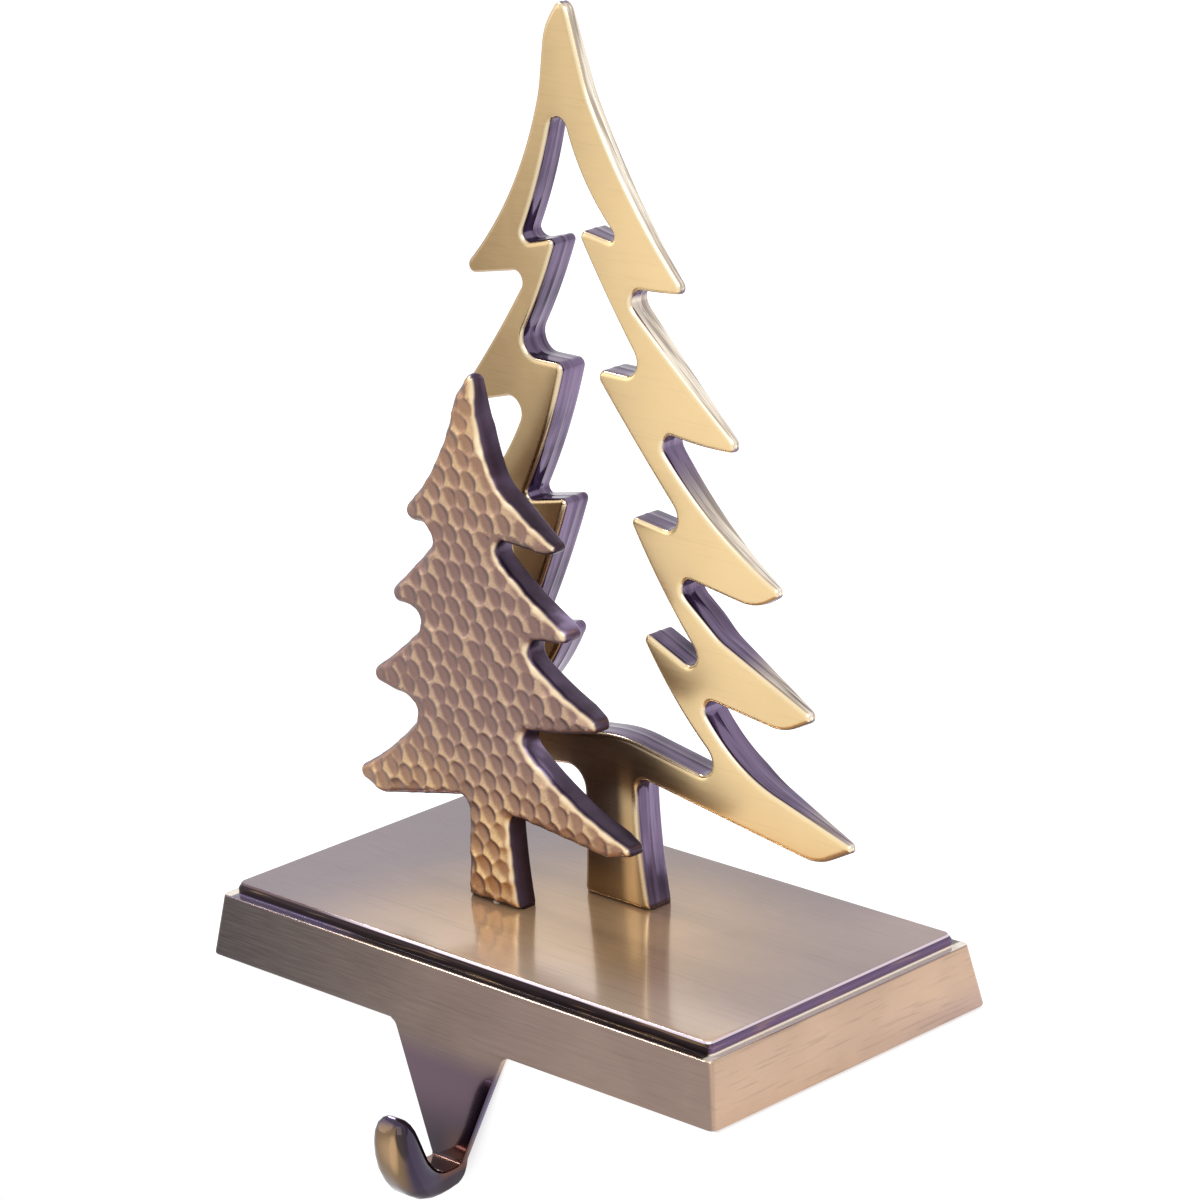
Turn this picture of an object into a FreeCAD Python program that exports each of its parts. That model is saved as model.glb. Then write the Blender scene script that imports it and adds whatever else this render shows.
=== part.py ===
import FreeCAD, Part
import math
import os

# A stocking holder for a mantel shelf. A heavy stepped slab stands on the shelf, and a
# hook cast on its front edge hangs below. Two flat fir trees stand on the slab, an open
# outline behind and a solid hammered one in front, each held by a screw from below.
# Millimetres, +Z up, the front and its hook towards -Y. The origin is the middle of the
# pad's underside, where the holder rests on the shelf.

V = FreeCAD.Vector

# Base slab
BASE_WIDTH = 130.0
BASE_DEPTH = 71.0
SKIRT_HEIGHT = 11.8
SKIRT_DRAFT = 1.9        # how far the skirt leans in over its height
LEDGE_WIDTH = 1.9        # flat ledge between the skirt's top and the panel
STEP_HEIGHT = 1.2        # upright step from the ledge up to the bevel
BEVEL_HEIGHT = 1.1
BEVEL_WIDTH = 0.5
BASE_CORNER = 1.4        # radius of the upright corners
SKIRT_CHAMFER = 0.4      # along the bottom edge

# Soft pad in the recess under the base
PAD_THICKNESS = 2.0
PAD_PROUD = 0.5          # how far the pad stands out below the skirt
PAD_RIM = 4.0            # rim of metal left around the recess
PAD_GAP = 0.2
PAD_CORNER = 3.0

# Hook
HOOK_TOP_WIDTH = 28.5    # shank, where it leaves the skirt
HOOK_NECK_WIDTH = 8.6    # shank, at the seat
HOOK_DROP = 22.75        # from the skirt's bottom edge down to the seat
HOOK_LEAN = 2.1          # how far the shank leans out over that drop
HOOK_NECK_RISE = 0.8     # where the V reaches the neck's width, above the seat
HOOK_ROOT_FILLET = 1.0
HOOK_FLARE = 3.0         # flat run of the skirt's edge that the root fillet starts from
SHANK_THICKNESS = 1.8
SEAT_THICKNESS = 3.45
SEAT_LENGTH = 4.9        # level part of the seat, out to where it starts to rise
SEAT_CURVE = 3.0
HEEL_RADIUS = 1.4
TIP_REACH = 12.8         # from the skirt's face out to the middle of the tip
TIP_DROP = 18.8          # from the skirt's bottom edge down to the middle of the tip
TIP_LENGTH = 14.6
TIP_LOW_RADIUS = 4.7
TIP_HIGH_RADIUS = 3.8
TIP_LEAN = 18.0          # degrees outward from upright

# Trees, placed by the middle of the trunk's foot and by the front face. The heights are
# those of the crown's corner over the panel, before it is rounded.
TALL_HEIGHT = 170.4
TALL_X = 2.3
TALL_FRONT_Y = 5.0
TALL_THICKNESS = 6.4
TALL_FOOT = 15.8
TALL_EDGE = 2.2          # thickness at the tips of the outer boughs
TALL_SLOPE = 0.3         # gain in thickness for each mm in from the line through the tips
TALL_RIGHT_TIPS = ((-2.1, 170.4), (23.5, 117.7), (58.5, 23.9))
TALL_LEFT_TIPS = ((-2.1, 170.4), (-29.6, 114.5), (-49.5, 23.7))
SMALL_HEIGHT = 102.9
SMALL_X = -14.8
SMALL_FRONT_Y = -10.0
SMALL_THICKNESS = 5.4
SMALL_FOOT = 13.6
FACE_ROUNDING = 0.6      # chamfer along the front edges of both trees

# Hammered face of the small tree. Each dimple is a shallow dish with flat facets.
DIMPLE_PITCH = 4.25
DIMPLE_ROW = 3.65
DIMPLE_WIDTH = 3.8
DIMPLE_FLOOR = 1.6
DIMPLE_DEPTH = 0.35
DIMPLE_FACETS = 10
DIMPLE_LIFT = 0.05

# Tongues and screws
TONGUE_SHOULDER = 0.4    # step from the trunk's foot to the tongue, all round
TONGUE_DEPTH = 3.0
POCKET_GAP = 0.1
POCKET_SPARE = 0.3       # free depth under the tongue
SCREW_RADIUS = 1.5
SCREW_GRIP = 5.8         # how far the screw reaches up into the trunk over the panel
THREAD_GAP = 0.05
TAP_SPARE = 1.0          # free depth over the screw's end
SHANK_HOLE_GAP = 0.2
HEAD_RADIUS = 2.8
HEAD_HEIGHT = 2.0
HEAD_SUNK = 0.4          # from the head's face to the recess's roof
HEAD_GAP = 0.3
CROSS_WIDTH = 0.9
CROSS_LENGTH = 3.4
CROSS_DEPTH = 1.2

SKIRT_Z = PAD_PROUD
PANEL_Z = SKIRT_Z + SKIRT_HEIGHT + STEP_HEIGHT + BEVEL_HEIGHT
HEAD_SEAT_Z = PAD_THICKNESS + HEAD_SUNK + HEAD_HEIGHT

# Tree outlines, clockwise from the top as seen from the front: x from the middle of the
# foot, height over the panel, radius of the corner, and how far the edge after it bows
# towards the tree's middle. Each bough is a pointed tip and the notch under it.
TALL_OUTLINE = (
    (-2.1, 170.4, 1.6, 0), (3.2, 150.4, 25, 2),
    (25.1, 117.7, 1.1, 0), (7.5, 116.9, 2.3, 0.3),
    (36.9, 91.1, 1.3, 0.3), (14.7, 92.1, 2.3, 2.6),
    (45.3, 67.3, 1.1, 0), (37.7, 64.2, 12, 0), (15.1, 66.9, 2.2, 0), (29.2, 55.9, 12, 0),
    (51.9, 45.9, 1.2, 0), (43.2, 42.7, 10, 0), (21.9, 45.1, 2.3, 2.2), (40.7, 29.8, 20, 0),
    (60.3, 23.9, 0.9, 0), (50.7, 19.5, 10, 0), (5.6, 26.5, 2.6, 0.6),
    (TALL_FOOT / 2, 0, 0, 0), (-TALL_FOOT / 2, 0, 0, 0.4),
    (-6.5, 25.2, 2.5, 0), (-43.8, 20.2, 10, 0), (-51.3, 23.7, 1, 3.5),
    (-21.3, 44.7, 2.5, -1.5), (-45.3, 44.7, 1.2, 2),
    (-16.8, 66.7, 2.4, -1), (-40.3, 66.1, 1.1, 3.9),
    (-15.2, 93.8, 2, 0), (-35.3, 88.5, 1.2, 0.6),
    (-13.2, 116.5, 1.7, 0), (-32.1, 113.4, 1.1, 3.2), (-8.3, 149.9, 25, 0),
)
TALL_OPENING = (
    (-3.8, 151.4, 1.4, 3.2),
    (10.9, 124.2, 0.9, 0), (-0.4, 125.9, 1.3, 0.5),
    (15.8, 100.6, 2.8, 0), (2.3, 101, 1.5, 0.2),
    (25.5, 73, 2.8, 0), (9.2, 75.3, 1, 1.4),
    (30.5, 45.9, 1.9, 0), (10.3, 54.9, 1, 2),
    (33.5, 27.9, 2.4, 0), (3.5, 33.1, 30, 0), (-29.3, 29, 1.2, 2.2),
    (-8.9, 50.9, 1.2, 0), (-19.8, 48.9, 1.5, 1.3),
    (-6.9, 75.5, 1, 0), (-18.6, 73.3, 1.1, 1.7),
    (-6.1, 100.5, 1.4, 0), (-19.1, 100.6, 3.6, 0.7),
    (-6.6, 123.4, 1, 0), (-16.4, 121, 1.5, 1.1),
)
SMALL_OUTLINE = (
    (4.4, 102.9, 1.3, 0), (4.3, 93.4, 12, 0.5), (7.8, 82.5, 10, 0.5),
    (24, 72.2, 1, 0), (19.3, 70.5, 5, 0), (1.8, 72.7, 2, 1.5),
    (25.8, 55.2, 1, -0.4), (8.8, 53.3, 2, 1.5),
    (32.8, 40.5, 1, -0.6), (7.2, 35.7, 2.2, 2.6),
    (39.8, 18.2, 1, 0), (30.3, 15.7, 8, 0), (5.4, 18.3, 1.5, 0.4),
    (SMALL_FOOT / 2, 0, 0, 0), (-SMALL_FOOT / 2, 0, 0, 0.2),
    (-5.4, 20.3, 1.5, 0), (-29.2, 15.5, 4, 0), (-36, 18.9, 1, 1.4),
    (-13.7, 35.6, 1.8, 0), (-30, 38.2, 1, 0.8),
    (-11.6, 54.1, 1.8, 0), (-23.2, 54.5, 1, 0.6),
    (-7, 70.5, 1.3, 0), (-18.2, 70.7, 0.9, 2.8), (-1.6, 95.5, 6, 0),
)


def box(x0, x1, y0, y1, z0, z1):
    return Part.makeBox(x1 - x0, y1 - y0, z1 - z0, V(x0, y0, z0))


def cylinder(radius, x, y, z0, z1):
    return Part.makeCylinder(radius, z1 - z0, V(x, y, z0))


class BowedEdge:
    # One side of an outline: a straight line, or an arc that bows by a given height.
    def __init__(self, start, end, bow):
        self.start = start
        self.length = (end - start).Length
        self.along = (end - start) * (1 / self.length)
        self.inward = V(self.along.y, -self.along.x, 0)
        self.half_angle = 2 * math.atan(2 * bow / self.length)
        self.arc_length = self.length
        if bow:
            self.arc_length = self.length * self.half_angle / math.sin(self.half_angle)

    def point(self, share):
        if not self.half_angle:
            return self.start + self.along * (self.length * share)
        angle = (2 * share - 1) * self.half_angle
        radius = self.length / 2 / math.sin(self.half_angle)
        forward = self.length / 2 + radius * math.sin(angle)
        aside = radius * (math.cos(angle) - math.cos(self.half_angle))
        return self.start + self.along * forward + self.inward * aside

    def direction(self, share):
        angle = (2 * share - 1) * self.half_angle
        return self.along * math.cos(angle) - self.inward * math.sin(angle)

    def piece(self, low, high):
        first, last = self.point(low), self.point(high)
        if not self.half_angle:
            return Part.LineSegment(first, last).toShape()
        return Part.Arc(first, self.point((low + high) / 2), last).toShape()


def outline_face(corners):
    # A closed flat face in XY with rounded corners. No rounding takes more than this
    # share of a side, so that two neighbours never meet.
    most = 0.45
    points = [V(x, y, 0) for x, y, radius, bow in corners]
    count = len(corners)
    sides = []
    for i in range(count):
        sides.append(BowedEdge(points[i], points[(i + 1) % count], corners[i][3]))
    trims = []
    for i in range(count):
        before, after = sides[i - 1], sides[i]
        turn = before.direction(1).getAngle(after.direction(0))
        wanted = corners[i][2] * math.tan(turn / 2)
        trims.append(min(wanted, most * before.arc_length, most * after.arc_length))
    edges = []
    for i in range(count):
        before, after = sides[i - 1], sides[i]
        if trims[i] > 0:
            edges.append(corner_curve(before, after, trims[i]))
        low = trims[i] / after.arc_length
        high = 1 - trims[(i + 1) % count] / after.arc_length
        edges.append(after.piece(low, high))
    return Part.Face(Part.Wire(edges))


def corner_curve(before, after, trim):
    # A near-circular curve that leaves one side and joins the next along their tangents.
    share_in, share_out = 1 - trim / before.arc_length, trim / after.arc_length
    first, last = before.point(share_in), after.point(share_out)
    leave, join = before.direction(share_in), after.direction(share_out)
    turn = leave.getAngle(join)
    radius = (last - first).Length / (2 * math.sin(turn / 2))
    reach = 4 / 3 * math.tan(turn / 4) * radius
    curve = Part.BezierCurve()
    curve.setPoles([first, first + leave * reach, last - join * reach, last])
    return curve.toShape()


def upright_plate(corners, front_y, thickness, x=0, z=0):
    # A flat figure whose front face looks towards -Y.
    plate = outline_face(corners).extrude(V(0, 0, thickness))
    plate.rotate(V(0, 0, 0), V(1, 0, 0), 90)
    plate.translate(V(x, front_y + thickness, z))
    return plate


def drawn_to(height, outline, corners):
    # Corners of a tree with their heights stretched, so that its outline's crown, the
    # first corner, comes to the given height.
    stretch = height / outline[0][1]
    return [(corner[0], corner[1] * stretch) + tuple(corner[2:]) for corner in corners]


def plate_outline(inset, radius):
    # The base's plan, drawn in from its edge on all sides.
    half_x, half_y = BASE_WIDTH / 2 - inset, BASE_DEPTH / 2 - inset
    corners = ((half_x, half_y), (half_x, -half_y), (-half_x, -half_y), (-half_x, half_y))
    face = outline_face([(x, y, radius, 0) for x, y in corners])
    return face.OuterWire


def tier(low_inset, low_z, high_inset, high_z):
    wires = []
    for inset, z in ((low_inset, low_z), (high_inset, high_z)):
        wire = plate_outline(inset, BASE_CORNER)
        wire.translate(V(0, 0, z))
        wires.append(wire)
    return Part.makeLoft(wires, True, True)


def slab():
    ledge_z = SKIRT_Z + SKIRT_HEIGHT
    panel_inset = SKIRT_DRAFT + LEDGE_WIDTH
    body = tier(SKIRT_CHAMFER, SKIRT_Z, 0, SKIRT_Z + SKIRT_CHAMFER)
    body = body.fuse(tier(0, SKIRT_Z + SKIRT_CHAMFER, SKIRT_DRAFT, ledge_z))
    body = body.fuse(tier(panel_inset, SKIRT_Z + SKIRT_CHAMFER, panel_inset, ledge_z + STEP_HEIGHT))
    body = body.fuse(tier(panel_inset, ledge_z + STEP_HEIGHT, panel_inset + BEVEL_WIDTH, PANEL_Z))
    return body


def hook_side():
    # The shank, its heel and the seat in side view, as (y, z) from the middle of the base
    # and the skirt's bottom edge.
    face_y = -BASE_DEPTH / 2
    seat_y = face_y - HOOK_LEAN
    rise_y = seat_y - SEAT_LENGTH
    tip_y = face_y - TIP_REACH
    floor_z, under_z = -HOOK_DROP, -HOOK_DROP - SEAT_THICKNESS
    rise = HOOK_DROP - TIP_DROP
    inside = SKIRT_CHAMFER
    return (
        (face_y, inside, 0, 0),
        (seat_y, floor_z, 0, 0),
        (rise_y, floor_z, SEAT_CURVE, 0),
        (rise_y - rise, -TIP_DROP + inside, 0, 0),
        (tip_y, -TIP_DROP, 0, 0),
        (tip_y + TIP_LOW_RADIUS / 2, under_z, SEAT_CURVE, 0),
        (seat_y + SHANK_THICKNESS, under_z, HEEL_RADIUS, 0),
        (face_y + SHANK_THICKNESS, inside, 0, 0),
    )


def hook_front():
    # The shank's V and the seat's width in front view, as (x, z).
    top, neck = HOOK_TOP_WIDTH / 2, HOOK_NECK_WIDTH / 2
    neck_z = HOOK_NECK_RISE - HOOK_DROP
    under_z = -HOOK_DROP - SEAT_THICKNESS
    flare = top + HOOK_FLARE
    right = [
        (flare, SKIRT_CHAMFER, 0, 0), (flare, 0, 0, 0), (top, 0, HOOK_ROOT_FILLET, 0),
        (neck, neck_z, 0, 0), (neck, under_z, 0, 0),
    ]
    left = [(-x, z, radius, bow) for x, z, radius, bow in reversed(right)]
    return right + left


def hook_tip():
    # An egg that leans outward: a large ball below, a small one above and the cone that
    # touches both.
    low, high = TIP_LOW_RADIUS, TIP_HIGH_RADIUS
    rise = TIP_LENGTH - low - high
    flank = math.asin((low - high) / rise)

    def on_ball(radius, middle_z, angle):
        return V(radius * math.cos(angle), 0, middle_z + radius * math.sin(angle))

    bottom, top = V(0, 0, -low), V(0, 0, rise + high)
    low_edge, high_edge = on_ball(low, 0, flank), on_ball(high, rise, flank)
    low_middle = on_ball(low, 0, (flank - math.pi / 2) / 2)
    high_middle = on_ball(high, rise, (flank + math.pi / 2) / 2)
    profile = Part.Wire([
        Part.Arc(bottom, low_middle, low_edge).toShape(),
        Part.LineSegment(low_edge, high_edge).toShape(),
        Part.Arc(high_edge, high_middle, top).toShape(),
        Part.LineSegment(top, bottom).toShape(),
    ])
    egg = Part.Face(profile).revolve(V(0, 0, 0), V(0, 0, 1), 360)
    egg.translate(V(0, 0, low - TIP_LENGTH / 2))
    egg.rotate(V(0, 0, 0), V(1, 0, 0), TIP_LEAN)
    egg.translate(V(0, -BASE_DEPTH / 2 - TIP_REACH, SKIRT_Z - TIP_DROP))
    return egg


def side_block(width):
    # The hook's side view as a block of the given width.
    block = outline_face(hook_side()).extrude(V(0, 0, width))
    block.rotate(V(0, 0, 0), V(1, 1, 1), 120)
    block.translate(V(-width / 2, 0, SKIRT_Z))
    return block


def hook():
    seat_y = -BASE_DEPTH / 2 - HOOK_LEAN
    front = upright_plate(hook_front(), seat_y, BASE_DEPTH, 0, SKIRT_Z)
    shank = side_block(BASE_WIDTH).common(front)
    return shank.fuse([side_block(HOOK_NECK_WIDTH), hook_tip()])


def pad_block(gap, z0, z1):
    wire = plate_outline(PAD_RIM + gap, PAD_CORNER)
    wire.translate(V(0, 0, z0))
    return Part.Face(wire).extrude(V(0, 0, z1 - z0))


def tongue(x, front_y, foot, thickness, grow, z0):
    shoulder = TONGUE_SHOULDER - grow
    half = foot / 2 - shoulder
    return box(x - half, x + half, front_y + shoulder, front_y + thickness - shoulder, z0, PANEL_Z)


def seats():
    # Where each tree stands: x, front face, foot width and thickness.
    return (
        (TALL_X, TALL_FRONT_Y, TALL_FOOT, TALL_THICKNESS),
        (SMALL_X, SMALL_FRONT_Y, SMALL_FOOT, SMALL_THICKNESS),
    )


def base_casting():
    body = slab().fuse(hook())
    cuts = [pad_block(0, 0, PAD_THICKNESS)]
    for x, front_y, foot, thickness in seats():
        middle_y = front_y + thickness / 2
        pocket_z = PANEL_Z - TONGUE_DEPTH - POCKET_SPARE
        cuts.append(tongue(x, front_y, foot, thickness, POCKET_GAP, pocket_z))
        cuts.append(cylinder(HEAD_RADIUS + HEAD_GAP, x, middle_y, 0, HEAD_SEAT_Z))
        cuts.append(cylinder(SCREW_RADIUS + SHANK_HOLE_GAP, x, middle_y, 0, PANEL_Z))
    return body.cut(cuts).removeSplitter()


def chamfer_front(plate, front_y):
    front = [face for face in plate.Faces if abs(face.CenterOfMass.y - front_y) < 1e-6]
    return plate.makeChamfer(FACE_ROUNDING, front[0].Edges)


def root(plate, x, front_y, foot, thickness):
    # The tongue under a tree's foot and the tapped hole up its trunk.
    plate = plate.fuse(tongue(x, front_y, foot, thickness, 0, PANEL_Z - TONGUE_DEPTH))
    top_z = PANEL_Z + SCREW_GRIP + TAP_SPARE
    tap = cylinder(SCREW_RADIUS + THREAD_GAP, x, front_y + thickness / 2, 0, top_z)
    return plate.cut(tap).removeSplitter()


def back_wedge(top, foot):
    # What the back loses towards one slanting side of the tree. The side's line runs
    # through the tips of its boughs.
    length = math.hypot(foot[0] - top[0], foot[1] - top[1])
    back = TALL_THICKNESS + TALL_EDGE
    over = TALL_THICKNESS / TALL_SLOPE
    beyond = TALL_EDGE / TALL_SLOPE
    section = Part.makePolygon([V(beyond, 0, 0), V(-over, back, 0), V(beyond, back, 0), V(beyond, 0, 0)])
    wedge = Part.Face(section).extrude(V(0, 0, length + 2 * over))
    wedge.translate(V(0, 0, -over))
    if foot[0] < top[0]:
        wedge = wedge.mirror(V(0, 0, 0), V(1, 0, 0))
    wedge.rotate(V(0, 0, 0), V(0, 1, 0), math.degrees(math.atan2(top[0] - foot[0], top[1] - foot[1])))
    wedge.translate(V(TALL_X + foot[0], TALL_FRONT_Y, PANEL_Z + foot[1]))
    return wedge


def tall_tree():
    outline = drawn_to(TALL_HEIGHT, TALL_OUTLINE, TALL_OUTLINE)
    inside = drawn_to(TALL_HEIGHT, TALL_OUTLINE, TALL_OPENING)
    crown = upright_plate(outline, TALL_FRONT_Y, TALL_THICKNESS, TALL_X, PANEL_Z)
    crown = crown.cut(upright_plate(inside, TALL_FRONT_Y, TALL_THICKNESS, TALL_X, PANEL_Z))
    crown = chamfer_front(crown, TALL_FRONT_Y)
    wedges = []
    for side in (TALL_RIGHT_TIPS, TALL_LEFT_TIPS):
        tips = drawn_to(TALL_HEIGHT, TALL_OUTLINE, side)
        for top, foot in zip(tips, tips[1:]):
            wedges.append(back_wedge(top, foot))
    crown = crown.cut(wedges)
    return root(crown, TALL_X, TALL_FRONT_Y, TALL_FOOT, TALL_THICKNESS)


def flat_face(points):
    return Part.Face(Part.makePolygon(points + points[:1]))


def dimple(x, z):
    # A dish with flat facets. It starts a little in front of the face, to cut it cleanly.
    flare = (DIMPLE_WIDTH - DIMPLE_FLOOR) / 2 / DIMPLE_DEPTH
    rings = []
    for radius, depth in (
        (DIMPLE_WIDTH / 2 + DIMPLE_LIFT * flare, -DIMPLE_LIFT),
        (DIMPLE_FLOOR / 2, DIMPLE_DEPTH),
    ):
        ring = []
        for step in range(DIMPLE_FACETS):
            angle = 2 * math.pi * step / DIMPLE_FACETS
            y = SMALL_FRONT_Y + depth
            ring.append(V(x + radius * math.cos(angle), y, z + radius * math.sin(angle)))
        rings.append(ring)
    rim, floor = rings
    faces = [flat_face(rim), flat_face(floor)]
    for step in range(DIMPLE_FACETS):
        after = (step + 1) % DIMPLE_FACETS
        faces.append(flat_face([rim[step], rim[after], floor[after], floor[step]]))
    dish = Part.Solid(Part.Shell(faces))
    if dish.Volume < 0:
        dish.reverse()
    return dish


def dimples(face):
    # Dishes in a staggered grid, one for each place whose middle lies on the face.
    room = face.BoundBox
    rows = math.ceil((room.ZMax - PANEL_Z) / DIMPLE_ROW)
    places = math.ceil((room.XMax - room.XMin) / DIMPLE_PITCH)
    found = []
    for row in range(rows):
        z = PANEL_Z + (row + 0.5) * DIMPLE_ROW
        for place in range(places):
            x = room.XMin + (place + row % 2 / 2) * DIMPLE_PITCH
            if face.isInside(V(x, SMALL_FRONT_Y, z), 1e-3, True):
                found.append(dimple(x, z))
    return found


def small_tree():
    outline = drawn_to(SMALL_HEIGHT, SMALL_OUTLINE, SMALL_OUTLINE)
    crown = upright_plate(outline, SMALL_FRONT_Y, SMALL_THICKNESS, SMALL_X, PANEL_Z)
    crown = chamfer_front(crown, SMALL_FRONT_Y)
    front = [face for face in crown.Faces if abs(face.CenterOfMass.y - SMALL_FRONT_Y) < 1e-6]
    crown = crown.cut(dimples(front[0]))
    return root(crown, SMALL_X, SMALL_FRONT_Y, SMALL_FOOT, SMALL_THICKNESS)


def tree_screw(x, y):
    head_z = HEAD_SEAT_Z - HEAD_HEIGHT
    screw = cylinder(HEAD_RADIUS, x, y, head_z, HEAD_SEAT_Z)
    screw = screw.fuse(cylinder(SCREW_RADIUS, x, y, HEAD_SEAT_Z, PANEL_Z + SCREW_GRIP))
    wide, long = CROSS_WIDTH / 2, CROSS_LENGTH / 2
    for half_x, half_y in ((wide, long), (long, wide)):
        slot = box(x - half_x, x + half_x, y - half_y, y + half_y, head_z, head_z + CROSS_DEPTH)
        screw = screw.cut(slot)
    return screw.removeSplitter()


def tree_screws():
    screws = []
    for x, front_y, foot, thickness in seats():
        screws.append(tree_screw(x, front_y + thickness / 2))
    return Part.makeCompound(screws)


os.makedirs("parts", exist_ok=True)
parts = {
    "base_casting": base_casting(),
    "tall_tree": tall_tree(),
    "small_tree": small_tree(),
    "tree_screws": tree_screws(),
    "mantel_pad": pad_block(PAD_GAP, 0, PAD_THICKNESS),
}
for name, shape in parts.items():
    shape.exportStep("parts/" + name + ".step")
    print(name, "solids", len(shape.Solids), "valid", shape.isValid(), "volume", round(shape.Volume, 1))
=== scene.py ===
import math
import bmesh
import bpy
import numpy as np
from mathutils import Matrix, Vector
from mathutils.geometry import delaunay_2d_cdt


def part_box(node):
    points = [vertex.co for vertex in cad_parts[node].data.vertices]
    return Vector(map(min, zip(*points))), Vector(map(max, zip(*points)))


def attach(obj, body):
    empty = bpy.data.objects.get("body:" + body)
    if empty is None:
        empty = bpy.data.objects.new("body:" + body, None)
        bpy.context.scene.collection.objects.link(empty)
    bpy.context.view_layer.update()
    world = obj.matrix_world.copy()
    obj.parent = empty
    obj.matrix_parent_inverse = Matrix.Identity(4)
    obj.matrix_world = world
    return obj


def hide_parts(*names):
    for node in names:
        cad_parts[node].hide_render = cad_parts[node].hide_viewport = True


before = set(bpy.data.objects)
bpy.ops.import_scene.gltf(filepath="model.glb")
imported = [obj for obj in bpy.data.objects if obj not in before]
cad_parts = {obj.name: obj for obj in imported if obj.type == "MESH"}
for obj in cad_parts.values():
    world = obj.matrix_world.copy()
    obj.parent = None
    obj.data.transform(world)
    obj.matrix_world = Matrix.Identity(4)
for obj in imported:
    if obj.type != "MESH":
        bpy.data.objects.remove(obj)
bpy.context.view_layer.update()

# Mantel stocking holder: a stepped slab with a hook on its front edge, and two flat fir
# trees of cast metal. Outlines and sizes are in millimetres, and mm turns them into metres.
mm = 0.001
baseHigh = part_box("base_casting")[1]
tallLow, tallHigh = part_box("tall_tree")
smallLow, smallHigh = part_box("small_tree")
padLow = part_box("mantel_pad")[0]
panelZ = baseHigh.z / mm
print("frame loaded, panel at", round(panelZ, 2), "mm")


# Node helpers

def feed(node, inputs):
    # Links what is a socket, and sets what is a plain value.
    for name, value in inputs.items():
        if isinstance(value, bpy.types.NodeSocket):
            node.id_data.links.new(value, node.inputs[name])
        else:
            node.inputs[name].default_value = value


def addNode(tree, kind, inputs, **settings):
    made = tree.nodes.new(kind)
    for name, value in settings.items():
        setattr(made, name, value)
    feed(made, inputs)
    return made


def treeOf(*values):
    # The node tree of the first socket among some values.
    for value in values:
        if isinstance(value, bpy.types.NodeSocket):
            return value.id_data


def calc(operation, first, second=0.0, third=0.0, clamp=False):
    inputs = {0: first, 1: second, 2: third}
    made = addNode(
        treeOf(first, second), "ShaderNodeMath", inputs, operation=operation, use_clamp=clamp)
    return made.outputs[0]


def times(first, second):
    return calc("MULTIPLY", first, second)


def mixOf(share, first, second):
    return addNode(treeOf(share), "ShaderNodeMix", {0: share, 2: first, 3: second}).outputs[0]


def blendColor(share, first, second):
    made = addNode(treeOf(share), "ShaderNodeMix", {0: share, 6: first, 7: second}, data_type="RGBA")
    return made.outputs[2]


def layers(color, *rows):
    # Colours laid over one another, each where its mask is and by no more than its share.
    for added, mask, most in rows:
        color = blendColor(times(mask, most), color, added)
    return color


def rangeOf(value, low, high):
    # Rises smoothly from 0 to 1 while the value goes from low to high.
    inputs = {0: value, 1: low, 2: high}
    return addNode(treeOf(value), "ShaderNodeMapRange", inputs, interpolation_type="SMOOTHSTEP").outputs[0]


def fade(value, reach):
    # The same for a place between two given in millimetres.
    return rangeOf(value, reach[0] * mm, reach[1] * mm)


def vectorMath(operation, first, second):
    return addNode(treeOf(first), "ShaderNodeVectorMath", {0: first, 1: second}, operation=operation).outputs


def measure(operation, first, second):
    # The distance or the dot product of two vectors.
    return vectorMath(operation, first, second)["Value"]


def partsOf(vector):
    return addNode(treeOf(vector), "ShaderNodeSeparateXYZ", {0: vector}).outputs


def metres(point):
    return tuple(value * mm for value in point)


def newGroup(name, inputs, outputs):
    group = bpy.data.node_groups.new(name, "ShaderNodeTree")
    for socketName, kind, value in inputs:
        socket = group.interface.new_socket(socketName, in_out="INPUT", socket_type=kind)
        if value is not None:
            socket.default_value = value
    for socketName, kind in outputs:
        group.interface.new_socket(socketName, in_out="OUTPUT", socket_type=kind)
    start = group.nodes.new("NodeGroupInput")
    end = group.nodes.new("NodeGroupOutput")
    return group, start.outputs, end.inputs


def useGroup(tree, group, inputs):
    return addNode(tree, "ShaderNodeGroup", inputs, node_tree=group).outputs


# Shared effects

def makeBrushLines():
    # Fine scratches along one axis: Stretch is small along the strokes and 1 across them.
    group, given, result = newGroup(
        "brushLines",
        [("Place", "NodeSocketVector", None), ("Stretch", "NodeSocketVector", (0.035, 1, 1)),
         ("Fineness", "NodeSocketFloat", 3000.0)],
        [("Lines", "NodeSocketFloat"), ("Scratches", "NodeSocketFloat")],
    )
    place = vectorMath("MULTIPLY", given["Place"], given["Stretch"])[0]
    fine = addNode(group, "ShaderNodeTexNoise", {
        "Vector": place, "Scale": given["Fineness"], "Detail": 3.0, "Roughness": 0.6})
    coarseScale = times(given["Fineness"], 0.45)
    coarse = addNode(group, "ShaderNodeTexNoise", {
        "Vector": place, "Scale": coarseScale, "Detail": 2.0, "Roughness": 0.5})
    group.links.new(fine.outputs[0], result["Lines"])
    group.links.new(rangeOf(coarse.outputs[0], 0.56, 0.7), result["Scratches"])
    return group


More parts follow.
